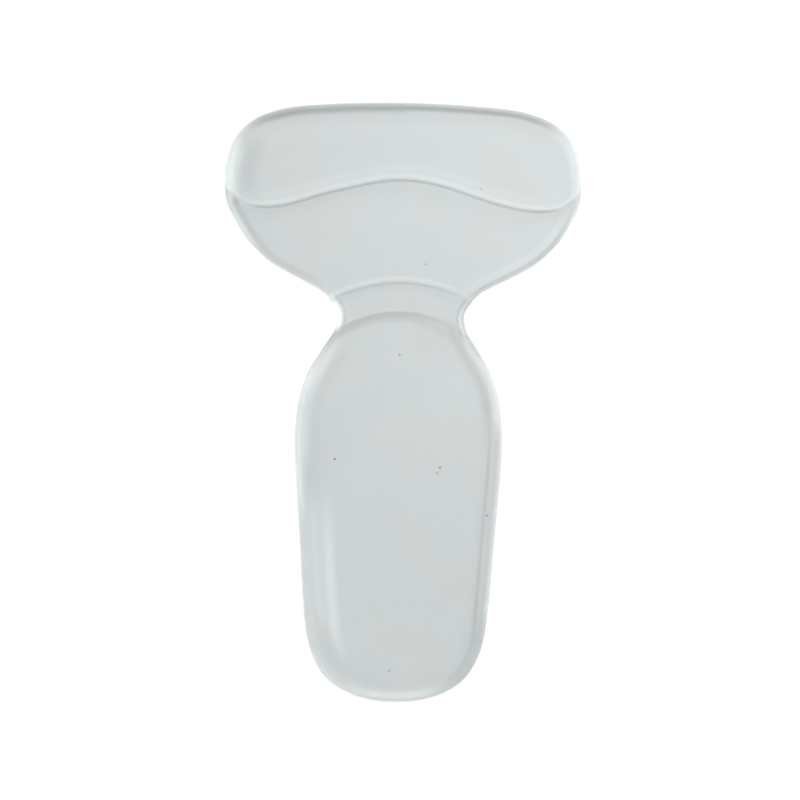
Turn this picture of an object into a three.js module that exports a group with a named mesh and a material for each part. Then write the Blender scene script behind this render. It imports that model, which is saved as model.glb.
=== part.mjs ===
// Gel heel insole: a clear gel liner for the back of a shoe, cast in one piece.
// The pad lies under the heel. The wide head folds up at the thin neck and
// lies against the shoe's heel counter, where its thick band grips.
// Millimetres, +Z up. It lies flat, with the head towards +Y and the worn
// side up. The origin is at the middle of its length and width, on the
// flat underside.

import * as THREE from "three";

// Lengths on the centre line, from the pad's end to the head's top edge.
const PAD_LENGTH = 78;
const NECK_LENGTH = 5.8;
const HEAD_LENGTH = 36.2;

// Widths across the centre line, each at its zone's widest or narrowest.
const PAD_WIDTH = 41.7;
const NECK_WIDTH = 25.2;
const HEAD_WIDTH = 71.5;

// The grip band's wavy lower edge: its crest is on the centre line.
const GRIP_DEPTH = 15.8; // top edge to the crest
const WAVE_DROP = 5.8; // crest to the troughs on either side
const TROUGH_SPACING = 54.6; // from one trough to the other

// The two curved lines that bound the neck, by their radius on the centre line.
const PAD_LINE_RADIUS = 23;
const HEAD_LINE_RADIUS = 23;

// Thicknesses, each over the flat of its zone.
const RIM_THICKNESS = 0.6; // the plain edge all round
const NECK_THICKNESS = 1.5;
const WING_THICKNESS = 2.6;
const GRIP_THICKNESS = 5;
const PAD_THICKNESS = 3.6;

// How far in from the outline each zone takes to round over to its flat.
const NECK_ROUNDING = 1.8;
const WING_ROUNDING = 2.6;
const GRIP_ROUNDING = 3.4;
const PAD_ROUNDING = 5;

// How far in from its own line each raised zone takes to reach its height.
const WING_STEP = 1.2;
const GRIP_STEP = 2;
const PAD_STEP = 4;

// Mesh fineness: columns across, rows along each zone, and points round the
// half outline.
const COLUMNS = 40;
const PAD_ROWS = 26;
const NECK_ROWS = 6;
const WING_ROWS = 14;
const GRIP_ROWS = 14;
const SIDE_SAMPLES = 800;
const LINE_SAMPLES = 200;

const TOTAL_LENGTH = PAD_LENGTH + NECK_LENGTH + HEAD_LENGTH;
const PAD_END = -TOTAL_LENGTH / 2;
const PAD_TOP = PAD_END + PAD_LENGTH;
const NECK_TOP = PAD_TOP + NECK_LENGTH;
const HEAD_TOP = NECK_TOP + HEAD_LENGTH;
const WAVE_CREST = HEAD_TOP - GRIP_DEPTH;

// Half of the outline, from the pad's end round to the middle of the top edge.
// across: share of the zone's half width. up: share of the zone's length.
const PAD_OUTLINE = [
  { across: 0, up: 0 },
  { across: 0.24, up: 0.005 },
  { across: 0.475, up: 0.025 },
  { across: 0.67, up: 0.061 },
  { across: 0.787, up: 0.11 },
  { across: 0.855, up: 0.168 },
  { across: 0.9, up: 0.27 },
  { across: 0.945, up: 0.44 },
  { across: 0.985, up: 0.58 },
  { across: 1, up: 0.68 },
  { across: 0.965, up: 0.775 },
  { across: 0.88, up: 0.845 },
  { across: 0.745, up: 0.905 },
];
const NECK_OUTLINE = [
  { across: 1.055, up: -0.65 },
  { across: 1, up: -0.15 },
  { across: 1.055, up: 0.15 },
  { across: 1.24, up: 0.62 },
];
const HEAD_OUTLINE = [
  { across: 0.587, up: 0.02 },
  { across: 0.742, up: 0.105 },
  { across: 0.867, up: 0.222 },
  { across: 0.947, up: 0.345 },
  { across: 0.986, up: 0.43 },
  { across: 1, up: 0.565 },
  { across: 0.99, up: 0.67 },
  { across: 0.947, up: 0.79 },
  { across: 0.845, up: 0.892 },
  { across: 0.67, up: 0.958 },
  { across: 0.39, up: 0.988 },
  { across: 0, up: 1 },
];

// The three lines across the insole where its thickness steps, as y of x.
const padLine = (x) => PAD_TOP - (x * x) / (2 * PAD_LINE_RADIUS);
const headLine = (x) => NECK_TOP - (x * x) / (2 * HEAD_LINE_RADIUS);
const waveLine = (x) => {
  const phase = (2 * Math.PI * x) / TROUGH_SPACING;
  return WAVE_CREST - (WAVE_DROP / 2) * (1 - Math.cos(phase));
};

// The right half of the outline as evenly spaced points, pad's end first.
function halfOutline() {
  const zone = (table, width, start, length) =>
    table.map(({ across, up }) => {
      const x = (across * width) / 2;
      return new THREE.Vector3(x, start + up * length, 0);
    });
  const right = [
    ...zone(PAD_OUTLINE, PAD_WIDTH, PAD_END, PAD_LENGTH),
    ...zone(NECK_OUTLINE, NECK_WIDTH, PAD_TOP, NECK_LENGTH),
    ...zone(HEAD_OUTLINE, HEAD_WIDTH, NECK_TOP, HEAD_LENGTH),
  ];
  const left = right
    .slice(1, -1)
    .reverse()
    .map((p) => new THREE.Vector3(-p.x, p.y, 0));
  const loop = new THREE.CatmullRomCurve3([...right, ...left], true);
  loop.arcLengthDivisions = 4 * SIDE_SAMPLES;
  const points = loop.getSpacedPoints(2 * SIDE_SAMPLES);
  return points.slice(0, SIDE_SAMPLES + 1);
}

// A step line as a run of points, as wide as the insole.
function sampledLine(line) {
  return Array.from({ length: LINE_SAMPLES + 1 }, (_, i) => {
    const x = (i / LINE_SAMPLES - 0.5) * HEAD_WIDTH;
    return new THREE.Vector3(x, line(x), 0);
  });
}

const SIDE = halfOutline();
const PAD_EDGE = { line: padLine, points: sampledLine(padLine), raised: -1 };
const WING_EDGE = { line: headLine, points: sampledLine(headLine), raised: 1 };
const GRIP_EDGE = { line: waveLine, points: sampledLine(waveLine), raised: 1 };

// Distance from (x, y) to the nearest place on a run of points.
function distanceTo(points, x, y) {
  let nearest = Infinity;
  for (let i = 0; i < points.length - 1; i++) {
    const a = points[i];
    const dx = points[i + 1].x - a.x;
    const dy = points[i + 1].y - a.y;
    const along = ((x - a.x) * dx + (y - a.y) * dy) / (dx * dx + dy * dy);
    const t = THREE.MathUtils.clamp(along, 0, 1);
    const gap = Math.hypot(x - a.x - t * dx, y - a.y - t * dy);
    nearest = Math.min(nearest, gap);
  }
  return nearest;
}

// How far (x, y) lies past an edge, on its raised side, or 0 before it.
function pastEdge(edge, x, y) {
  const beyond = (y - edge.line(x)) * edge.raised;
  return beyond > 0 ? distanceTo(edge.points, x, y) : 0;
}

// A quarter ellipse: 0 at an edge, and 1 from `width` inwards.
function rounded(depth, width) {
  const left = 1 - THREE.MathUtils.clamp(depth / width, 0, 1);
  return Math.sqrt(1 - left * left);
}

// Height of the top surface. The neck's sheet runs under the whole insole,
// the pad and the wing stand on it, and the grip band on the wing.
function heightAt(x, y) {
  const inside = distanceTo(SIDE, Math.abs(x), y);
  const sheet = rounded(inside, NECK_ROUNDING);
  const pad =
    rounded(inside, PAD_ROUNDING) * rounded(pastEdge(PAD_EDGE, x, y), PAD_STEP);
  const wing =
    rounded(inside, WING_ROUNDING) *
    rounded(pastEdge(WING_EDGE, x, y), WING_STEP);
  const grip =
    rounded(inside, GRIP_ROUNDING) *
    rounded(pastEdge(GRIP_EDGE, x, y), GRIP_STEP);
  return (
    RIM_THICKNESS +
    (NECK_THICKNESS - RIM_THICKNESS) * sheet +
    (PAD_THICKNESS - NECK_THICKNESS) * pad +
    (WING_THICKNESS - NECK_THICKNESS) * wing +
    (GRIP_THICKNESS - WING_THICKNESS) * grip
  );
}

// Where along SIDE a line meets the outline, as an index with a fraction.
function meetsSide(line) {
  const gap = SIDE.map((p) => p.y - line(p.x));
  const i = gap.findIndex((g, k) => g < 0 && gap[k + 1] >= 0);
  return i + gap[i] / (gap[i] - gap[i + 1]);
}

// The indexes where SIDE turns upright at the pad's end and level at the top.
function cornerIndexes() {
  const upright = SIDE.slice(1).map((p, i) => {
    const before = SIDE[i];
    return Math.abs(p.y - before.y) > Math.abs(p.x - before.x);
  });
  return [upright.indexOf(true), upright.lastIndexOf(true) + 1];
}

// The point of SIDE at an index with a fraction.
function sideAt(index) {
  const i = Math.min(Math.floor(index), SIDE.length - 2);
  return new THREE.Vector3().lerpVectors(SIDE[i], SIDE[i + 1], index - i);
}

// A run of SIDE as y of x: the pad's end or the head's top edge.
function runOfSide(first, last) {
  const run = SIDE.slice(first, last + 1);
  return (x) => {
    const i = run.findIndex((p, k) => {
      const next = run[k + 1];
      return k === run.length - 2 || (p.x - x) * (next.x - x) <= 0;
    });
    const share = (x - run[i].x) / (run[i + 1].x - run[i].x);
    return THREE.MathUtils.lerp(run[i].y, run[i + 1].y, share);
  };
}

// Shares from 0 to 1 that lie closer together towards both ends.
const eased = (step, steps) => (1 - Math.cos((Math.PI * step) / steps)) / 2;

// One row of points from the left side to the right one, `share` of the way
// from a lower bound to an upper one, with a shape between those of the two.
function rowBetween(lower, upper, share) {
  const end = sideAt(THREE.MathUtils.lerp(lower.at, upper.at, share));
  const rise = ({ at, line }, across) => {
    const side = sideAt(at);
    return line(Math.abs(across) * side.x) - side.y;
  };
  return Array.from({ length: COLUMNS + 1 }, (_, column) => {
    const across = 2 * eased(column, COLUMNS) - 1;
    const shape = THREE.MathUtils.lerp(
      rise(lower, across),
      rise(upper, across),
      share,
    );
    return new THREE.Vector2(across * end.x, end.y + shape);
  });
}

// The rows of the whole insole. A row lies on each step line, and the rows
// are closer together towards these lines.
function gridRows() {
  const [low, high] = cornerIndexes();
  const bounds = [
    { at: low, line: runOfSide(0, low) },
    { at: meetsSide(padLine), line: padLine },
    { at: meetsSide(headLine), line: headLine },
    { at: meetsSide(waveLine), line: waveLine },
    { at: high, line: runOfSide(high, SIDE.length - 1) },
  ];
  const rowCounts = [PAD_ROWS, NECK_ROWS, WING_ROWS, GRIP_ROWS];
  const rows = rowCounts.flatMap((count, zone) =>
    Array.from({ length: count }, (_, row) =>
      rowBetween(bounds[zone], bounds[zone + 1], eased(row, count)),
    ),
  );
  rows.push(rowBetween(bounds.at(-2), bounds.at(-1), 1));
  return rows;
}

// The closed solid: the top surface, the plain edge and the flat underside.
function gelGeometry() {
  const rows = gridRows();
  const last = rows.length - 1;
  const vertices = [];
  const triangles = [];
  const indexOf = (row, column) => row * (COLUMNS + 1) + column;

  rows.forEach((points, row) =>
    points.forEach(({ x, y }, column) => {
      const onEdge = [0, last].includes(row) || [0, COLUMNS].includes(column);
      vertices.push(x, y, onEdge ? RIM_THICKNESS : heightAt(x, y));
    }),
  );
  for (let row = 0; row < last; row++) {
    for (let column = 0; column < COLUMNS; column++) {
      const a = indexOf(row, column);
      const b = indexOf(row, column + 1);
      const c = indexOf(row + 1, column + 1);
      const d = indexOf(row + 1, column);
      // The diagonal points to the nearest corner of the grid.
      const leftHalf = column < COLUMNS / 2;
      const lowHalf = row < last / 2;
      if (leftHalf === lowHalf) triangles.push(a, b, c, a, c, d);
      else triangles.push(a, b, d, b, c, d);
    }
  }

  const edge = [];
  for (let c = 0; c < COLUMNS; c++) edge.push(indexOf(0, c));
  for (let r = 0; r < last; r++) edge.push(indexOf(r, COLUMNS));
  for (let c = COLUMNS; c > 0; c--) edge.push(indexOf(last, c));
  for (let r = last; r > 0; r--) edge.push(indexOf(r, 0));

  const under = vertices.length / 3;
  const loop = edge.map((i) => {
    const [x, y] = vertices.slice(3 * i, 3 * i + 2);
    return new THREE.Vector2(x, y);
  });
  loop.forEach(({ x, y }) => vertices.push(x, y, 0));
  edge.forEach((above, i) => {
    const next = (i + 1) % edge.length;
    triangles.push(under + i, under + next, above);
    triangles.push(under + next, edge[next], above);
  });
  THREE.ShapeUtils.triangulateShape(loop, []).forEach(([a, b, c]) =>
    triangles.push(under + a, under + c, under + b),
  );

  const geometry = new THREE.BufferGeometry();
  const position = new THREE.Float32BufferAttribute(vertices, 3);
  geometry.setAttribute("position", position);
  geometry.setIndex(triangles);
  geometry.computeVertexNormals();
  return geometry;
}

const clearGel = new THREE.MeshStandardMaterial({
  color: 0xd2d7d5,
  roughness: 0.12,
  metalness: 0,
  transparent: true,
  opacity: 0.55,
});

const insole = new THREE.Group();
const moulding = new THREE.Mesh(gelGeometry(), clearGel);
moulding.name = "gel_insole";
insole.add(moulding);

export default insole;
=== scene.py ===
"""Looks of a gel heel insole: one clear, T-shaped gel moulding on a lit white sheet.

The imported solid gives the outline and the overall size. This script lays a
fine, smooth surface over it, dresses it as clear cast gel with a few trapped
air bubbles, and lights and frames it from straight above.
Lengths are in metres, +Z up, with the wide head towards +Y.
"""

import logging
import math
from collections.abc import Callable
from dataclasses import dataclass
from enum import Enum

import bmesh
import bpy
import numpy as np
from mathutils import Matrix, Vector
from mathutils.kdtree import KDTree


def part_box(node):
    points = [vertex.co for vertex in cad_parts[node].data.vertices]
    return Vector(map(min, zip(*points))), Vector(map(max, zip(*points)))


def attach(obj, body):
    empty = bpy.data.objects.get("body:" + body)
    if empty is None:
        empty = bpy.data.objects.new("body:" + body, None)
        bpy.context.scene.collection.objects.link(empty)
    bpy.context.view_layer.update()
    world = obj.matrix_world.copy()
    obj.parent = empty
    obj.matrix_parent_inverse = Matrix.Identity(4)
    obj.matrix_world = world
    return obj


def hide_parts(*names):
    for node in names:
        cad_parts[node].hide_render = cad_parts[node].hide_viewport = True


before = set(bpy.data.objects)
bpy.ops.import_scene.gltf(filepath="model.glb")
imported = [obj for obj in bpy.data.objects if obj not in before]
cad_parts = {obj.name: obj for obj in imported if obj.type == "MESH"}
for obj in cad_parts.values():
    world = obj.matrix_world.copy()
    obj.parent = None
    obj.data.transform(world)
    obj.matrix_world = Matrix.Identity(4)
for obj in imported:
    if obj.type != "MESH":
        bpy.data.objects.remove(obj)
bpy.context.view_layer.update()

MM = 0.001
NODE = "gel_insole"
PIECE = "gel_moulding"

# The mesh value that carries the light and shade painted into the gel's colour at each
# point, with 1 for none.
PAINTED_LIGHT_AND_SHADE = "painted_light_and_shade"

# Corners closer together than this are one corner, and a face whose normal
# points further down than this belongs to the flat underside.
WELD_GAP = 1e-3 * MM
POINTS_DOWN = -0.99

LOG = logging.getLogger("gel_insole")


def linear(hex_colour: str) -> tuple[float, float, float, float]:
    """Turn an sRGB hex colour into a linear one.

    Args:
        hex_colour: the colour as "#RRGGBB".

    Returns:
        Its linear red, green, blue, and an alpha of 1.
    """
    shares = [int(hex_colour[i : i + 2], 16) / 255 for i in (1, 3, 5)]
    red, green, blue = (
        c / 12.92 if c <= 0.04045 else ((c + 0.055) / 1.055) ** 2.4 for c in shares
    )
    return red, green, blue, 1.0


def add_node(
    tree: bpy.types.NodeTree,
    kind: str,
    inputs: dict[str | int, object] | None = None,
    **settings: object,
) -> bpy.types.Node:
    """Add one shader node with its settings, values and links.

    Args:
        tree: the node tree that gets it.
        kind: the node's type, such as "ShaderNodeBump".
        inputs: what each input gets: another node's output, or a plain value.
        **settings: the node's own properties.

    Returns:
        The new node.
    """
    node = tree.nodes.new(kind)
    for name, value in settings.items():
        setattr(node, name, value)
    for key, value in (inputs or {}).items():
        if isinstance(value, bpy.types.NodeSocket):
            tree.links.new(value, node.inputs[key])
        else:
            node.inputs[key].default_value = value
    return node


def empty_material(name: str) -> bpy.types.Material:
    """Make a material whose node tree is empty.

    Args:
        name: the material's name.

    Returns:
        The new material.
    """
    material = bpy.data.materials.new(name)
    material.use_nodes = True
    material.node_tree.nodes.clear()
    return material


@dataclass(frozen=True)
class CastClearGel:
    """Silicone gel, cast clear in a polished mould.

    It gives the eye a wet, pale grey-green glass. Light from the ground comes
    through its flats with one even tint, and its banks bend that light into
    crisp dark and bright lines. Light and shade painted into its colour along
    its edges strengthen those lines and keep its thin lips almost white. A
    faint milky haze keeps its edges soft and grey, not black, where they are
    seen from the side.

    Attributes:
        tint: the colour of its clearer clouds.
        cloudy_tint: the colour of its milkier ones.
        clear_share: how much of the light it lets through. The rest is haze.
        depth_colour: the colour that light takes on deep inside it.
        density_per_m: how strongly light takes that on, per metre.
        ior: its index of refraction, typical of a soft clear gel.
        gloss_roughness: how rough its wettest patches are.
        bloom_roughness: how rough the dry bloom between them is.
        bloom_from: the clouds' value at which the bloom starts.
        bloom_to: the clouds' value at which the bloom is full.
        cloud_size: the size of the clouds, left by the way the gel was poured.
        ripple_size: the spacing of the waves that polishing left in the mould.
        ripple_depth: the height of those waves.
    """

    tint: str = "#C7CDCE"
    cloudy_tint: str = "#C9CBCA"
    clear_share: float = 0.93
    depth_colour: str = "#C9D6D2"
    density_per_m: float = 4.0
    ior: float = 1.42
    gloss_roughness: float = 0.0
    bloom_roughness: float = 0.02
    bloom_from: float = 0.35
    bloom_to: float = 0.7
    cloud_size: float = 14 * MM
    ripple_size: float = 7 * MM
    ripple_depth: float = 0.01 * MM

    def material(self) -> bpy.types.Material:
        """Build the gel's material.

        Returns:
            The new material.
        """
        material = empty_material("clear_cast_gel")
        tree = material.node_tree
        place = add_node(tree, "ShaderNodeTexCoord").outputs["Object"]

        clouds = add_node(
            tree,
            "ShaderNodeTexNoise",
            {"Vector": place, "Scale": 1 / self.cloud_size, "Detail": 2.0},
        )
        colour = add_node(
            tree,
            "ShaderNodeMix",
            {
                "Factor": clouds.outputs["Fac"],
                "A": linear(self.tint),
                "B": linear(self.cloudy_tint),
            },
            data_type="RGBA",
        )
        # The light and shade painted into the mesh, which multiply the gel's tint.
        painted_light_and_shade = add_node(tree, "ShaderNodeAttribute", attribute_name=PAINTED_LIGHT_AND_SHADE)
        streaked = add_node(
            tree,
            "ShaderNodeMix",
            {
                "Factor": 1.0,
                "A": colour.outputs[2],
                "B": painted_light_and_shade.outputs["Color"],
            },
            data_type="RGBA",
            blend_type="MULTIPLY",
            clamp_result=True,
        )
        bloom = add_node(
            tree,
            "ShaderNodeMapRange",
            {
                "Value": clouds.outputs["Fac"],
                "From Min": self.bloom_from,
                "From Max": self.bloom_to,
                "To Min": self.gloss_roughness,
                "To Max": self.bloom_roughness,
            },
        )
        ripple = add_node(
            tree,
            "ShaderNodeTexNoise",
            {"Vector": place, "Scale": 1 / self.ripple_size, "Detail": 1.0},
        )
        relief = add_node(
            tree,
            "ShaderNodeBump",
            {
                "Strength": 1.0,
                "Distance": self.ripple_depth,
                "Height": ripple.outputs["Fac"],
            },
        )
        gel = add_node(
            tree,
            "ShaderNodeBsdfPrincipled",
            {
                "Base Color": streaked.outputs[2],
                "Roughness": bloom.outputs["Result"],
                "IOR": self.ior,
                "Transmission Weight": self.clear_share,
                "Normal": relief.outputs["Normal"],
            },
        )
        absorption = add_node(
            tree,
            "ShaderNodeVolumeAbsorption",
            {"Color": linear(self.depth_colour), "Density": self.density_per_m},
        )
        add_node(
            tree,
            "ShaderNodeOutputMaterial",
            {"Surface": gel.outputs["BSDF"], "Volume": absorption.outputs["Volume"]},
        )
        return material


@dataclass(frozen=True)
class BacklitOpalAcrylic:
    """Opal acrylic sheet, cast matt, with lamps below it.

    It gives the eye a pure white ground with no gloss and no shadows, a shade
    stronger over its lamps than away from them.

    Attributes:
        sheet: the sheet's colour between its grains.
        grain: the grains' colour.
        grain_size: the size of its matt grain. A real one is under 0.1 mm, too
            fine to show, so it is drawn coarser.
        glow: the light it gives off away from its lamps.
        glow_over_lamps: the light it gives off right over them.
        lamps: where the middle of its lamps is.
        lamps_reach: how far from there their extra light has faded out.
    """

    sheet: str = "#F6F6F6"
    grain: str = "#F4F4F4"
    grain_size: float = 1.5 * MM
    glow: float = 0.62
    glow_over_lamps: float = 0.8
    lamps: tuple[float, float, float] = (0.045, 0.06, 0.0)
    lamps_reach: float = 110 * MM

    def material(self) -> bpy.types.Material:
        """Build the sheet's material.

        Returns:
            The new material.
        """
        material = empty_material("backlit_opal_acrylic")
        tree = material.node_tree
        place = add_node(tree, "ShaderNodeTexCoord").outputs["Object"]
        grains = add_node(
            tree, "ShaderNodeTexNoise", {"Vector": place, "Scale": 1 / self.grain_size}
        )
        colour = add_node(
            tree,
            "ShaderNodeMix",
            {
                "Factor": grains.outputs["Fac"],
                "A": linear(self.sheet),
                "B": linear(self.grain),
            },
            data_type="RGBA",
        )
        from_lamps = add_node(
            tree,
            "ShaderNodeVectorMath",
            {0: place, 1: self.lamps},
            operation="DISTANCE",
        )
        strength = add_node(
            tree,
            "ShaderNodeMapRange",
            {
                "Value": from_lamps.outputs["Value"],
                "From Min": 0.0,
                "From Max": self.lamps_reach,
                "To Min": self.glow_over_lamps,
                "To Max": self.glow,
            },
            interpolation_type="SMOOTHSTEP",
        )
        sheet = add_node(
            tree,
            "ShaderNodeBsdfDiffuse",
            {"Color": colour.outputs[2], "Roughness": 0.0},
        )
        light = add_node(
            tree,
            "ShaderNodeEmission",
            {"Color": linear("#FFFFFF"), "Strength": strength.outputs["Result"]},
        )
        both = add_node(
            tree,
            "ShaderNodeAddShader",
            {0: sheet.outputs["BSDF"], 1: light.outputs["Emission"]},
        )
        add_node(
            tree, "ShaderNodeOutputMaterial", {"Surface": both.outputs["Shader"]}
        )
        return material


class Run:
    """A run of points on a plane, dense enough to be measured as straight pieces."""

    def __init__(self, points: np.ndarray) -> None:
        """Keep the points and index them.

        Args:
            points: the points in order, one row of x and y for each.
        """
        self.points = points
        self.steps = np.linalg.norm(np.diff(points, axis=0), axis=1)
        self.passed = np.concatenate([[0], np.cumsum(self.steps)])
        self.tree = KDTree(len(points))
        for i, (x, y) in enumerate(points):
            self.tree.insert((x, y, 0.0), i)
        self.tree.balance()

    def measure(self, places: np.ndarray) -> tuple[np.ndarray, np.ndarray]:
        """Measure how far each place lies from the run, and where along it.

        Args:
            places: one row of x and y for each place.

        Returns:
            The distance of each place, and the run's length up to there.
        """
        nearest = np.array([self.tree.find((x, y, 0.0))[1] for x, y in places])
        last = len(self.points) - 2
        found = []
        for first in (np.clip(nearest - 1, 0, last), np.clip(nearest, 0, last)):
            along = self.points[first + 1] - self.points[first]
            offset = places - self.points[first]
            share = np.clip((offset * along).sum(1) / (along * along).sum(1), 0, 1)
            gap = np.linalg.norm(offset - share[:, None] * along, axis=1)
            found.append((gap, self.passed[first] + share * self.steps[first]))
        (gap, passed), (other_gap, other_passed) = found
        closer = gap <= other_gap
        return np.where(closer, gap, other_gap), np.where(closer, passed, other_passed)

    def left_hand(self, passed: np.ndarray) -> np.ndarray:
        """Give the unit vectors to the left of the run.

        Args:
            passed: the lengths along the run at which they are wanted.

        Returns:
            One row of x and y for each length.
        """
        slope = np.gradient(self.points, self.passed, axis=0)
        along = np.column_stack([np.interp(passed, self.passed, c) for c in slope.T])
        along /= np.linalg.norm(along, axis=1)[:, None]
        return np.column_stack([-along[:, 1], along[:, 0]])


def underside_ring(node: bpy.types.Object) -> np.ndarray:
    """Read the outline of a solid's flat underside.

    Args:
        node: the frame's object for the solid.

    Returns:
        The outline's corners in order, one row of x and y for each.
    """
    work = bmesh.new()
    work.from_mesh(node.data)
    bmesh.ops.remove_doubles(work, verts=work.verts, dist=WELD_GAP)
    under = [f for f in work.faces if f.normal.z < POINTS_DOWN]
    whole = bmesh.ops.dissolve_faces(work, faces=under)["region"][0]
    ring = np.array([v.co.xy for v in whole.verts])
    work.free()
    return ring


def smooth_side(ring: np.ndarray, samples: int, fineness: int = 40) -> np.ndarray:
    """Draw a smooth curve through the right half of a symmetric outline.

    Args:
        ring: the outline's corners in order, with one at each end on x = 0.
        samples: how many evenly spaced points to give.
        fineness: how many points are drawn from each corner to the next before
            they are spread evenly.

    Returns:
        The curve's points, from the end at low y to the one at high y.
    """
    start = int(ring[:, 1].argmin())
    ring = np.roll(ring, -start, axis=0)
    if ring[1, 0] < 0:
        ring = np.roll(ring[::-1], 1, axis=0)
    half = ring[: int(ring[:, 1].argmax()) + 1]

    mirror = np.array([-1.0, 1.0])
    corners = np.vstack([half[1] * mirror, half, half[-2] * mirror])
    steps = np.diff(corners, axis=0)
    lengths = np.linalg.norm(steps, axis=1)[:, None]
    slopes = steps / lengths
    before, after = lengths[:-1], lengths[1:]
    tangents = (slopes[:-1] * after + slopes[1:] * before) / (before + after)

    # A cubic curve from each corner to the next, along the slopes at both.
    t = np.linspace(0, 1, fineness, endpoint=False)[None, :, None]
    p0, p1 = half[:-1, None], half[1:, None]
    m0, m1 = tangents[:-1, None], tangents[1:, None]
    h = lengths[1:-1, None]
    curve = (
        (2 * t**3 - 3 * t**2 + 1) * p0
        + (t**3 - 2 * t**2 + t) * h * m0
        + (3 * t**2 - 2 * t**3) * p1
        + (t**3 - t**2) * h * m1
    ).reshape(-1, 2)
    curve = np.vstack([curve, half[-1]])
    run = np.linalg.norm(np.diff(curve, axis=0), axis=1)
    passed = np.concatenate([[0], np.cumsum(run)])
    even = np.linspace(0, passed[-1], samples)
    return np.column_stack([np.interp(even, passed, curve[:, i]) for i in (0, 1)])


def eased(count: int) -> np.ndarray:
    """Give count + 1 shares from 0 to 1 that crowd towards both ends."""
    return (1 - np.cos(np.linspace(0, math.pi, count + 1))) / 2


@dataclass(frozen=True)
class Bank:
    """How a raised form climbs from its edge inwards.

    Attributes:
        lip: how far in from the edge it starts.
        width: how far in from the edge it is at full height.
        crease: how sharp the bend at full height is, from 0 for none to 1.
        ease: how gently it levels off, with 2 for a plain quarter ellipse.
    """

    lip: float
    width: float
    crease: float
    ease: float = 2.0

    def share(self, depth: np.ndarray) -> np.ndarray:
        """Give how high the form stands.

        Args:
            depth: how far in from the edge each place lies.

        Returns:
            The share of its full height at each place.
        """
        climbed = np.clip((depth - self.lip) / (self.width - self.lip), 0, 1)
        bow = np.sqrt(1 - (1 - climbed) ** self.ease)
        return (1 - self.crease) * bow + self.crease * climbed


class Edge(Enum):
    """The edges that a bank or a streak can follow."""

    OUTLINE = "whole outline"
    LEFT = "left side of the outline"
    RIGHT = "right side of the outline"
    PAD = "pad's upper line"
    WING = "wing's lower line"
    GRIP = "grip band's wavy line"


@dataclass(frozen=True)
class Survey:
    """Where some places lie on the insole.

    Attributes:
        depth: how far in from each edge they lie, below 0 if before it.
        along: how far along each edge they lie: round the side from the pad's
            end for the outline, and to the right of the middle for the lines.
    """

    depth: dict[Edge, np.ndarray]
    along: dict[Edge, np.ndarray]


@dataclass(frozen=True)
class Streak:
    """A soft line of light or shade in the gel, along an edge.

    A real one is thrown there by the many reflections between the gel, the
    ground and the room, which this plainer studio doesn't have, so it is
    painted into the gel's colour here.

    Attributes:
        edge: the edge that it follows.
        start: where along the edge it starts.
        end: where along the edge it ends.
        depth: how far in from the edge its middle lies.
        spread: how far from its middle it has faded out.
        strength: how much painted light it adds there, or painted shade if below 0.
        fade: the length over which it fades in and out along the edge.
    """

    edge: Edge
    start: float
    end: float
    depth: float
    spread: float
    strength: float
    fade: float

    @classmethod
    def mm(
        cls,
        edge: Edge,
        start: float,
        end: float,
        depth: float,
        spread: float,
        strength: float,
        fade: float = 6.0,
    ) -> "Streak":
        """Make one from its edge, its strength, and its lengths in millimetres."""
        lengths = (start * MM, end * MM, depth * MM, spread * MM)
        return cls(edge, *lengths, strength, fade * MM)

    def gain(self, survey: Survey) -> np.ndarray:
        """Give the painted light or shade that the streak adds.

        Args:
            survey: where the places lie.

        Returns:
            What it adds at each place.
        """
        off = (survey.depth[self.edge] - self.depth) / self.spread
        along = survey.along[self.edge]
        inwards = np.minimum(along - self.start, self.end - along) / self.fade
        across = (1 - np.clip(off * off, 0, 1)) ** 2
        return self.strength * across * np.clip(0.5 + inwards, 0, 1)


Line = Callable[[np.ndarray], np.ndarray]


@dataclass(frozen=True)
class Bound:
    """A line across the insole, and where it meets the side curve.

    Attributes:
        at: the place on the side curve, as an index with a fraction.
        line: its y at each x.
    """

    at: float
    line: Line


@dataclass(frozen=True)
class Bubble:
    """A tiny round bubble of air that the gel set around.

    Attributes:
        x: where it lies across the insole.
        y: where it lies along the insole.
        z: how far above the underside it lies.
        radius: its radius.
    """

    x: float
    y: float
    z: float
    radius: float

    @classmethod
    def mm(cls, x: float, y: float, z: float, radius: float) -> "Bubble":
        """Make one from its place and radius in millimetres."""
        return cls(x * MM, y * MM, z * MM, radius * MM)


class Zone(Enum):
    """The insole's zones, from the pad's end up."""

    PAD = "heel pad"
    NECK = "neck"
    WING = "wing"
    GRIP = "grip band"


# How many rows of faces each zone's top surface has.
ROWS = {Zone.PAD: 150, Zone.NECK: 36, Zone.WING: 76, Zone.GRIP: 76}


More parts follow.
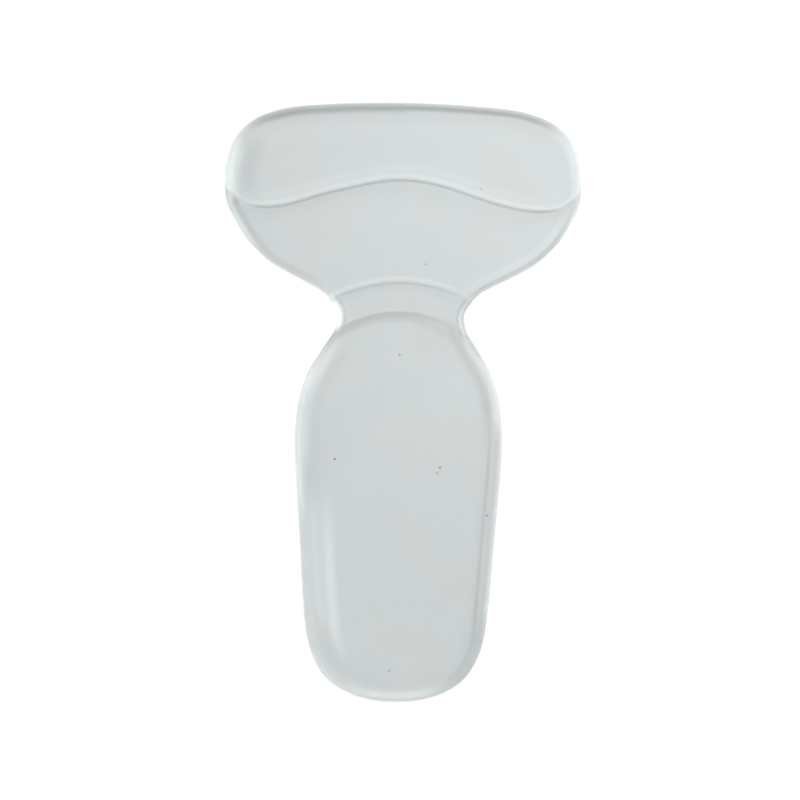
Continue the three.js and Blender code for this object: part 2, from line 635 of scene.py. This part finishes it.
@dataclass
class GelMoulding:
    """The whole insole as one fine, smooth, closed mesh.

    Attributes:
        low: the frame's lowest corner.
        high: the frame's highest corner.
        finish: the gel.
        columns: how many faces each row has.
        side_samples: how many points the side curve has.
        line_samples: how many points a line across the insole is measured by.
        pad_share: the share of the length up to the pad's upper line.
        neck_share: the share from there up to the wing's lower line.
        crest_share: the share from the wave's crest up to the top.
        wave_drop: how far the wave's troughs lie below its crest.
        trough_spacing: how far apart the troughs are.
        wave_curl_from: how far from the middle the wave's ends start to curl.
        wave_curl_radius: the radius that they curl with.
        wave_bulge: how much higher the wave's fuller left half runs.
        wave_bulge_at: where across the insole it runs so.
        wave_bulge_reach: how far from there that has mostly faded.
        pad_line_radius: the radius of the pad's upper line at its crown.
        head_line_radius: the radius of the wing's lower line at its crown.
        rim: the height of the plain upright edge.
        neck: the neck's thickness.
        wing: the wing's thickness.
        pad: the pad's thickness. The grip band's is the frame's own height.
        neck_side: how the neck climbs from the outline.
        pad_side: how the pad climbs from the outline.
        wing_side: how the wing climbs from the outline.
        grip_side: how the grip band climbs from the outline.
        pad_step: how the pad climbs from its upper line.
        pad_swell: how it goes on climbing beyond that step.
        swell_share: the share of its climb that is left to the swell.
        wing_step: how the wing climbs from its lower line.
        grip_step: how the grip band climbs from its wavy line.
        lip_loss: how fast the neck's lip gives way where the pad or the wing
            climbs.
        foot_radius: the radius of the fillet at the foot of the upright edge.
        foot_turns_deg: how far round the fillet its rings of points lie.
        lit_rim: how far in under the insole the streaks have faded out.
        lit_rings: how many rings of points carry them there.
        streaks: the soft lines of light and shade painted into the gel's colour.
        bubbles: the trapped air.
        bubble_detail: how often the faces of a bubble are divided.
    """

    low: Vector
    high: Vector
    finish: CastClearGel = CastClearGel()
    columns: int = 240
    side_samples: int = 6001
    line_samples: int = 1501
    pad_share: float = 78.15 / 120
    neck_share: float = 5.5 / 120
    crest_share: float = 15.8 / 120
    wave_drop: float = 5.8 * MM
    trough_spacing: float = 54.6 * MM
    wave_curl_from: float = 29 * MM
    wave_curl_radius: float = 7 * MM
    wave_bulge: float = 0.65 * MM
    wave_bulge_at: float = -17 * MM
    wave_bulge_reach: float = 6 * MM
    pad_line_radius: float = 22.2 * MM
    head_line_radius: float = 27.5 * MM
    rim: float = 0.6 * MM
    neck: float = 1.5 * MM
    wing: float = 2.6 * MM
    pad: float = 3.6 * MM
    neck_side: Bank = Bank(1.0 * MM, 2.2 * MM, 0.4)
    pad_side: Bank = Bank(0.0, 4.8 * MM, 0.15)
    wing_side: Bank = Bank(0.0, 2.4 * MM, 0.15)
    grip_side: Bank = Bank(0.22 * MM, 4.6 * MM, 0.0, ease=3.0)
    pad_step: Bank = Bank(0.0, 1.9 * MM, 0.3)
    pad_swell: Bank = Bank(0.0, 11.0 * MM, 0.6)
    swell_share: float = 0.6
    wing_step: Bank = Bank(0.0, 0.8 * MM, 0.1)
    grip_step: Bank = Bank(0.0, 3.4 * MM, 0.0, ease=3.5)
    lip_loss: float = 3.0
    foot_radius: float = 0.15 * MM
    foot_turns_deg: tuple[float, ...] = (0, 30, 60, 90)
    lit_rim: float = 2.5 * MM
    lit_rings: int = 5
    streaks: tuple[Streak, ...] = (
        # Painted light on the bright lips at the very rim.
        Streak.mm(Edge.OUTLINE, -10, 9, 0.6, 0.4, -0.12),
        Streak.mm(Edge.OUTLINE, -10, 8, 1.5, 1.3, 0.2),
        Streak.mm(Edge.LEFT, 7, 20, 0.7, 0.8, 0.15),
        Streak.mm(Edge.LEFT, 20, 60, 0.2, 0.7, 0.12),
        Streak.mm(Edge.LEFT, 50, 80, 0.9, 0.9, 0.28),
        Streak.mm(Edge.LEFT, 60, 83, 2.4, 1.3, 0.18),
        Streak.mm(Edge.LEFT, 73, 86, 1.6, 1.6, 0.15),
        Streak.mm(Edge.LEFT, 98, 122, 0.1, 0.5, 0.2),
        Streak.mm(Edge.LEFT, 112, 125, 0.8, 0.7, 0.18, fade=4),
        Streak.mm(Edge.LEFT, 125, 140, 0.9, 1.4, 0.24),
        Streak.mm(Edge.LEFT, 124, 135, 2.0, 1.6, 0.24, fade=4),
        Streak.mm(Edge.RIGHT, 28, 80, 0.45, 0.75, 0.38),
        Streak.mm(Edge.RIGHT, 67, 88, 1.2, 1.1, 0.2),
        Streak.mm(Edge.RIGHT, 60, 88, 0.0, 0.5, 0.24),
        Streak.mm(Edge.RIGHT, 96, 122, 0.0, 0.5, 0.3),
        Streak.mm(Edge.RIGHT, 95, 118, 2.3, 0.8, 0.07),
        Streak.mm(Edge.RIGHT, 118, 138, 0.4, 1.1, 0.33),
        Streak.mm(Edge.RIGHT, 126, 140, 1.6, 1.6, 0.17),
        Streak.mm(Edge.LEFT, 142, 180, 0.0, 0.45, 0.35),
        Streak.mm(Edge.RIGHT, 142, 180, 0.0, 0.45, 0.35),
        # Painted shade inside the lips.
        Streak.mm(Edge.RIGHT, 11, 26, 1.5, 1.4, -0.15),
        Streak.mm(Edge.RIGHT, 12, 30, 2.4, 0.7, -0.16),
        Streak.mm(Edge.RIGHT, 24, 66, 1.5, 0.9, -0.12),
        Streak.mm(Edge.RIGHT, 26, 66, 2.7, 0.6, -0.16),
        Streak.mm(Edge.RIGHT, 68, 88, 2.9, 1.6, -0.2),
        Streak.mm(Edge.LEFT, 54, 86, 4.4, 1.6, -0.05),
        Streak.mm(Edge.LEFT, 97, 114, 1.2, 1.1, -0.15),
        Streak.mm(Edge.LEFT, 112, 122, 2.0, 1.0, -0.18, fade=4),
        Streak.mm(Edge.LEFT, 122, 124, 1.9, 0.8, -0.3, fade=2),
        Streak.mm(Edge.RIGHT, 94, 123, 0.9, 0.6, -0.24),
        Streak.mm(Edge.LEFT, 125, 140, 4.6, 2.9, -0.17),
        Streak.mm(Edge.LEFT, 141, 180, 1.2, 1.3, -0.32),
        Streak.mm(Edge.LEFT, 144, 180, 2.0, 0.9, -0.22),
        Streak.mm(Edge.RIGHT, 143, 180, 1.2, 1.2, -0.28),
        Streak.mm(Edge.RIGHT, 142, 180, 1.7, 0.9, -0.2),
        # Painted light low on the pad's left, and a fainter streak of it on its right.
        Streak.mm(Edge.LEFT, 30, 52, 2.9, 0.5, 0.1),
        Streak.mm(Edge.LEFT, 26, 50, 3.4, 1.9, 0.15),
        Streak.mm(Edge.LEFT, 20, 48, 5.9, 1.8, 0.26, fade=12),
        Streak.mm(Edge.RIGHT, 14, 60, 4.2, 1.6, 0.03, fade=12),
        # Painted light on the neck's bare lips, with a line of painted shade inside
        # each.
        Streak.mm(Edge.LEFT, 88, 94, 0.4, 1.2, 0.5, fade=2),
        Streak.mm(Edge.LEFT, 88, 94, 1.5, 0.4, -0.2, fade=2),
        Streak.mm(Edge.RIGHT, 87, 95, 0.4, 0.25, -0.18, fade=2),
        Streak.mm(Edge.RIGHT, 87, 94, 0.85, 0.35, 0.25, fade=2),
        Streak.mm(Edge.RIGHT, 87, 94, 1.4, 0.4, -0.24, fade=2),
        # Painted shade at the wave's crisp foot and painted light on its bank, and
        # painted light and shade along the neck's two lines.
        Streak.mm(Edge.GRIP, -30, 30, 0.0, 0.45, -0.38, fade=3),
        Streak.mm(Edge.GRIP, -30, 30, 0.8, 0.7, 0.16),
        Streak.mm(Edge.GRIP, -30, 30, 1.9, 1.8, 0.1),
        Streak.mm(Edge.WING, -14, 10, 0.1, 0.4, -0.25),
        Streak.mm(Edge.WING, -14, 12, 0.9, 0.8, 0.15),
        Streak.mm(Edge.PAD, -16, 16, 0.2, 0.8, 0.12),
        Streak.mm(Edge.PAD, -16, 6, 1.3, 1.2, -0.18),
        Streak.mm(Edge.PAD, 4, 18, 2.1, 1.5, -0.11),
        Streak.mm(Edge.PAD, 10, 18, 0.9, 0.5, -0.14),
    )
    bubbles: tuple[Bubble, ...] = (
        Bubble.mm(-12.7, -11.6, 2.2, 0.21),
        Bubble.mm(8.3, -12.9, 2.4, 0.2),
        Bubble.mm(7.7, -14.1, 1.8, 0.16),
        Bubble.mm(-0.1, 9.4, 2.1, 0.17),
        Bubble.mm(-1.2, -53.6, 1.9, 0.15),
        Bubble.mm(17.7, -22.3, 1.5, 0.17),
        Bubble.mm(15.5, 42.9, 2.8, 0.13),
        Bubble.mm(4.8, 27.6, 1.8, 0.14),
    )
    bubble_detail: int = 3

    def __post_init__(self) -> None:
        """Work out the lines across the insole and its side curve."""
        length = self.high.y - self.low.y
        self.grip = self.high.z
        self.pad_top = self.low.y + self.pad_share * length
        self.neck_top = self.pad_top + self.neck_share * length
        self.crest = self.high.y - self.crest_share * length
        ring = underside_ring(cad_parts[NODE])
        self.side = Run(smooth_side(ring, self.side_samples))
        # Each line with the side of it that the raised form lies on.
        self.lines: dict[Edge, tuple[Line, int]] = {
            Edge.PAD: (self.pad_line, -1),
            Edge.WING: (self.head_line, 1),
            Edge.GRIP: (self.curled_wave_line, 1),
        }
        self.runs = {
            edge: self.sampled(line) for edge, (line, _) in self.lines.items()
        }

    def pad_line(self, x: np.ndarray) -> np.ndarray:
        """Give the y of the pad's upper line at each x."""
        return self.pad_top - x * x / (2 * self.pad_line_radius)

    def head_line(self, x: np.ndarray) -> np.ndarray:
        """Give the y of the line between neck and wing at each x."""
        return self.neck_top - x * x / (2 * self.head_line_radius)

    def wave_line(self, x: np.ndarray) -> np.ndarray:
        """Give the grip band's wavy lower edge, whose left half is a little fuller.

        Args:
            x: where across the insole it is wanted.

        Returns:
            Its y at each x.
        """
        phase = 2 * math.pi * x / self.trough_spacing
        wave = self.crest - self.wave_drop / 2 * (1 - np.cos(phase))
        bulge = np.exp(-(((x - self.wave_bulge_at) / self.wave_bulge_reach) ** 2))
        return wave + self.wave_bulge * bulge

    def curled_wave_line(self, x: np.ndarray) -> np.ndarray:
        """Give the y of the wavy edge where its ends curl up into the sides."""
        past = np.maximum(np.abs(x) - self.wave_curl_from, 0)
        return self.wave_line(x) + past * past / (2 * self.wave_curl_radius)

    def sampled(self, line: Line) -> Run:
        """Turn a line into a run as wide as the insole."""
        x = np.linspace(self.low.x, self.high.x, self.line_samples)
        return Run(np.column_stack([x, line(x)]))

    def survey(self, places: np.ndarray) -> Survey:
        """Measure how some places lie to every edge.

        Args:
            places: one row of x and y for each place.

        Returns:
            Their depths and lengths along each edge.
        """
        x, y = places.T
        inside, round_side = self.side.measure(np.column_stack([np.abs(x), y]))
        depth = {
            Edge.OUTLINE: inside,
            Edge.LEFT: np.where(x <= 0, inside, np.inf),
            Edge.RIGHT: np.where(x >= 0, inside, np.inf),
        }
        along = dict.fromkeys(depth, round_side)
        for edge, (line, raised) in self.lines.items():
            past = np.sign((y - line(x)) * raised)
            depth[edge] = past * self.runs[edge].measure(places)[0]
            along[edge] = x
        return Survey(depth, along)

    def heights(self, survey: Survey) -> np.ndarray:
        """Give the top surface's height at each surveyed place.

        The neck's sheet runs under the whole insole, the pad and the wing
        stand on it, and the grip band on the wing. The sheet keeps a thin lip
        of its own along its sides only where neither the pad nor the wing
        stands on it.

        Args:
            survey: where the places lie.

        Returns:
            The height at each place.
        """
        depth = survey.depth
        inside = depth[Edge.OUTLINE]
        climb = self.pad_step.share(depth[Edge.PAD])
        swell = self.pad_swell.share(depth[Edge.PAD])
        pad = self.pad_side.share(inside) * (climb + self.swell_share * (swell - climb))
        wing = self.wing_side.share(inside) * self.wing_step.share(depth[Edge.WING])
        grip = self.grip_side.share(inside) * self.grip_step.share(depth[Edge.GRIP])
        beside_pad = 1 - np.clip(self.lip_loss * pad, 0, 1)
        beside_wing = 1 - np.clip(self.lip_loss * wing, 0, 1)
        bare = beside_pad * beside_wing
        sheet = 1 - (1 - self.neck_side.share(inside)) * bare
        return (
            self.rim
            + (self.neck - self.rim) * sheet
            + (self.pad - self.neck) * pad
            + (self.wing - self.neck) * wing
            + (self.grip - self.wing) * grip
        )

    def painted_light_and_shade(self, survey: Survey) -> np.ndarray:
        """Give the light and shade painted into the gel's colour at each surveyed
        place, with 1 for its flats.
        """
        gain = np.sum([streak.gain(survey) for streak in self.streaks], axis=0)
        return np.clip(1 + gain, 0, 2)

    def meets_side(self, line: Line) -> float:
        """Find where a line crosses the side curve.

        Args:
            line: the line's y at each x.

        Returns:
            The place on the side curve, as an index with a fraction.
        """
        gap = self.side.points[:, 1] - line(self.side.points[:, 0])
        i = int(np.flatnonzero((gap[:-1] < 0) & (gap[1:] >= 0))[0])
        return i + gap[i] / (gap[i] - gap[i + 1])

    def bounds(self) -> list[Bound]:
        """Give the lines that bound the zones.

        Returns:
            The lines in order, from the pad's end to the top.
        """
        points = self.side.points
        step = np.abs(np.diff(points, axis=0))
        upright = np.flatnonzero(step[:, 1] > step[:, 0])
        first, last = int(upright[0]), int(upright[-1]) + 1
        end, top = points[: first + 1], points[: last - 1 : -1]
        return [
            Bound(first, lambda x: np.interp(np.abs(x), end[:, 0], end[:, 1])),
            Bound(self.meets_side(self.pad_line), self.pad_line),
            Bound(self.meets_side(self.head_line), self.head_line),
            Bound(self.meets_side(self.wave_line), self.wave_line),
            Bound(last, lambda x: np.interp(np.abs(x), top[:, 0], top[:, 1])),
        ]

    def side_at(self, index: float) -> np.ndarray:
        """Give the side curve's point at an index with a fraction."""
        numbers = np.arange(len(self.side.points))
        return np.array([np.interp(index, numbers, c) for c in self.side.points.T])

    def row(self, lower: Bound, upper: Bound, share: float) -> np.ndarray:
        """Lay one row of points from the left side to the right one.

        Args:
            lower: the bound below it.
            upper: the bound above it.
            share: how far up it lies between the two.

        Returns:
            One row of x and y for each of its points.
        """
        across = 2 * eased(self.columns) - 1
        end = self.side_at(lower.at + share * (upper.at - lower.at))
        shape = np.zeros_like(across)
        for bound, part in ((lower, 1 - share), (upper, share)):
            side = self.side_at(bound.at)
            shape += part * (bound.line(across * side[0]) - side[1])
        return np.column_stack([across * end[0], end[1] + shape])

    def plan(self) -> np.ndarray:
        """Lay out the top surface's points, seen from above.

        Returns:
            Their places as rows by columns by x and y.
        """
        bounds = self.bounds()
        rows = [
            self.row(lower, upper, share)
            for zone, lower, upper in zip(Zone, bounds, bounds[1:])
            for share in eased(ROWS[zone])[:-1]
        ]
        rows.append(self.row(bounds[-2], bounds[-1], 1.0))
        return np.array(rows)

    def mesh(self) -> bpy.types.Mesh:
        """Build the closed surface: top, upright edge, small fillet and underside.

        Returns:
            The new mesh, with the light and shade painted into its colour at each
            point.
        """
        plan = self.plan()
        rows, columns = plan.shape[:2]
        survey = self.survey(plan.reshape(-1, 2))
        top = self.heights(survey).reshape(rows, columns)
        top[[0, -1], :] = self.rim
        top[:, [0, -1]] = self.rim
        index = np.arange(rows * columns).reshape(rows, columns)
        corners = (index[:-1, :-1], index[:-1, 1:], index[1:, 1:], index[1:, :-1])
        faces = np.dstack(corners).reshape(-1, 4).tolist()
        points = [np.dstack([plan, top]).reshape(-1, 3)]
        # The light and shade painted into the gel's colour on the top surface.
        painted_light_and_shade = [self.painted_light_and_shade(survey)]

        ring = np.concatenate(
            [index[0, :-1], index[:-1, -1], index[-1, :0:-1], index[:0:-1, 0]]
        )
        edge = plan.reshape(-1, 2)[ring]
        inward = self.side.left_hand(survey.along[Edge.OUTLINE][ring])
        # The side curve runs up the right side, so it is mirrored for the left.
        inward[:, 0] *= np.where(edge[:, 0] < 0, -1, 1)
        # Ring by ring, the edge goes down, round the fillet and in below, where the
        # painted light and shade fade out.
        above = ring
        for inset, height, lit in self.foot():
            below = np.arange(len(ring)) + sum(map(len, points))
            place = edge + inset * inward
            points.append(np.column_stack([place, np.full(len(ring), height)]))
            painted_light_and_shade.append(1 + lit * (self.painted_light_and_shade(self.survey(place)) - 1))
            quads = (below, np.roll(below, -1), np.roll(above, -1), above)
            faces.extend(np.column_stack(quads).tolist())
            above = below
        faces.append(above[::-1].tolist())

        mesh = bpy.data.meshes.new(PIECE)
        mesh.from_pydata(np.vstack(points).tolist(), [], faces)
        smooth = np.ones(len(faces), bool)
        smooth[-1] = False
        mesh.polygons.foreach_set("use_smooth", smooth)
        values = np.concatenate(painted_light_and_shade)
        mesh.attributes.new(PAINTED_LIGHT_AND_SHADE, "FLOAT", "POINT").data.foreach_set("value", values)
        mesh.update()
        return mesh

    def foot(self) -> list[tuple[float, float, float]]:
        """Give the rings below the top surface, from its edge to the underside.

        Returns:
            Each ring's inset from the outline, its height, and the share of
            the streaks that it carries, which is none at the last one.
        """
        radius = self.foot_radius
        fillet = [
            (radius * (1 - math.cos(turn)), radius * (1 - math.sin(turn)), 1.0)
            for turn in np.radians(self.foot_turns_deg)
        ]
        insets = np.linspace(radius, self.lit_rim, self.lit_rings + 1)[1:]
        under = [(inset, 0.0, 1 - inset / self.lit_rim) for inset in insets]
        return fillet + under

    def trap_bubbles(self, mesh: bpy.types.Mesh) -> None:
        """Put the air bubbles into the gel, with their faces turned to the air.

        Args:
            mesh: the moulding's mesh, which gets them.
        """
        work = bmesh.new()
        work.from_mesh(mesh)
        for bubble in self.bubbles:
            made = bmesh.ops.create_icosphere(
                work,
                subdivisions=self.bubble_detail,
                radius=bubble.radius,
                matrix=Matrix.Translation((bubble.x, bubble.y, bubble.z)),
            )
            skin = list({face for v in made["verts"] for face in v.link_faces})
            bmesh.ops.reverse_faces(work, faces=skin)
            for face in skin:
                face.smooth = True
        work.to_mesh(mesh)
        work.free()

    def build(self) -> bpy.types.Object:
        """Make the moulding, dress it and put it in the frame.

        Returns:
            The finished piece.
        """
        mesh = self.mesh()
        self.trap_bubbles(mesh)
        piece = bpy.data.objects.new(PIECE, mesh)
        bpy.context.scene.collection.objects.link(piece)
        piece.data.materials.append(self.finish.material())
        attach(piece, "root")
        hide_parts(NODE)
        return piece


@dataclass(frozen=True)
class Softbox:
    """A soft panel of light, far off in one direction.

    Attributes:
        towards: the direction it stands in, seen from the insole.
        strength: the radiance at its middle.
        edge: the cosine of the angle at which it has faded out.
        core: the cosine of the angle out to which it is at full strength.
    """

    towards: tuple[float, float, float]
    strength: float
    edge: float = 0.76
    core: float = 0.99


@dataclass
class Studio:
    """The white ground, the soft light round it, and the camera above it.

    Attributes:
        ground: the sheet that the insole lies on.
        floor_half: half the side of that sheet.
        floor_gap: how far it lies below the insole, so that the two don't
            share a plane.
        room: the radiance of the room, in every direction.
        boxes: the soft panels of light.
        field_of_view: how wide a square of the ground the camera takes in.
        lens: the camera's focal length in mm, long enough for a flat view.
        sensor: the width of the camera's sensor in mm.
        photo_pixels: the photograph's width and height.
        photo_centre: the pixel of the photograph that the insole's middle is on.
        lean_deg: how far the insole leans clockwise in the photograph.
    """

    ground: BacklitOpalAcrylic = BacklitOpalAcrylic()
    floor_half: float = 4.0
    floor_gap: float = 0.05 * MM
    room: float = 0.3
    boxes: tuple[Softbox, ...] = (
        # High over the head end and its right corner.
        Softbox((0.0, 0.44, 0.90), 1.6),
        Softbox((0.56, 0.56, 0.62), 1.0),
        # Low down beyond that corner, to the right and to the left.
        Softbox((0.69, 0.69, 0.21), 0.9),
        Softbox((0.98, 0.0, 0.21), 1.0),
        Softbox((-0.98, 0.0, 0.21), 1.4),
    )
    field_of_view: float = 160 * MM
    lens: float = 200.0
    sensor: float = 36.0
    photo_pixels: int = 800
    photo_centre: tuple[float, float] = (399.4, 402.0)
    lean_deg: float = 1.0

    def floor(self) -> bpy.types.Object:
        """Lay the backlit sheet just under the insole.

        Returns:
            The sheet.
        """
        mesh = bpy.data.meshes.new("white_ground")
        ways = ((-1, -1), (1, -1), (1, 1), (-1, 1))
        corners = [(self.floor_half * x, self.floor_half * y, 0) for x, y in ways]
        mesh.from_pydata(corners, [], [(0, 1, 2, 3)])
        piece = bpy.data.objects.new("white_ground", mesh)
        piece.location.z = -self.floor_gap
        bpy.context.scene.collection.objects.link(piece)
        mesh.materials.append(self.ground.material())
        return piece

    def light(self) -> None:
        """Light the insole from the head end and, low down, from both sides."""
        world = bpy.data.worlds.new("soft_studio")
        bpy.context.scene.world = world
        world.use_nodes = True
        tree = world.node_tree
        tree.nodes.clear()
        direction = add_node(tree, "ShaderNodeTexCoord").outputs["Generated"]
        strength: bpy.types.NodeSocket | float = self.room
        for box in self.boxes:
            facing = add_node(
                tree,
                "ShaderNodeVectorMath",
                {0: direction, 1: Vector(box.towards).normalized()},
                operation="DOT_PRODUCT",
            )
            panel = add_node(
                tree,
                "ShaderNodeMapRange",
                {
                    "Value": facing.outputs["Value"],
                    "From Min": box.edge,
                    "From Max": box.core,
                    "To Min": 0.0,
                    "To Max": box.strength,
                },
                interpolation_type="SMOOTHSTEP",
            )
            strength = add_node(
                tree,
                "ShaderNodeMath",
                {0: strength, 1: panel.outputs["Result"]},
                operation="ADD",
            ).outputs["Value"]
        glow = add_node(
            tree,
            "ShaderNodeBackground",
            {"Color": linear("#FFFFFF"), "Strength": strength},
        )
        add_node(
            tree, "ShaderNodeOutputWorld", {"Surface": glow.outputs["Background"]}
        )

    def camera(self) -> bpy.types.Object:
        """Look straight down, rolled as far as the insole leans in the photograph.

        Returns:
            The camera.
        """
        data = bpy.data.cameras.new("overhead")
        data.lens = self.lens
        data.sensor_width = self.sensor
        eye = bpy.data.objects.new("overhead", data)
        bpy.context.scene.collection.objects.link(eye)
        bpy.context.scene.camera = eye

        pixel = self.field_of_view / self.photo_pixels
        middle = self.photo_pixels / 2
        right = (middle - self.photo_centre[0]) * pixel
        up = (self.photo_centre[1] - middle) * pixel
        roll = math.radians(self.lean_deg)
        eye.location = (
            right * math.cos(roll) - up * math.sin(roll),
            right * math.sin(roll) + up * math.cos(roll),
            self.field_of_view * self.lens / self.sensor,
        )
        eye.rotation_euler = (0, 0, roll)
        return eye

    def build(self) -> None:
        """Set up the floor, the light and the camera."""
        self.floor()
        self.light()
        self.camera()
        scene = bpy.context.scene
        scene.view_settings.view_transform = "Standard"
        # Light keeps its sharp paths through the clear gel.
        scene.cycles.blur_glossy = 0.0


def main() -> None:
    """Build the studio and the insole, and report each piece."""
    logging.basicConfig(level=logging.INFO, format="%(name)s: %(message)s")
    Studio().build()
    piece = GelMoulding(*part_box(NODE)).build()
    LOG.info("%s: %d faces", piece.name, len(piece.data.polygons))


if __name__ == "__main__":
    main()
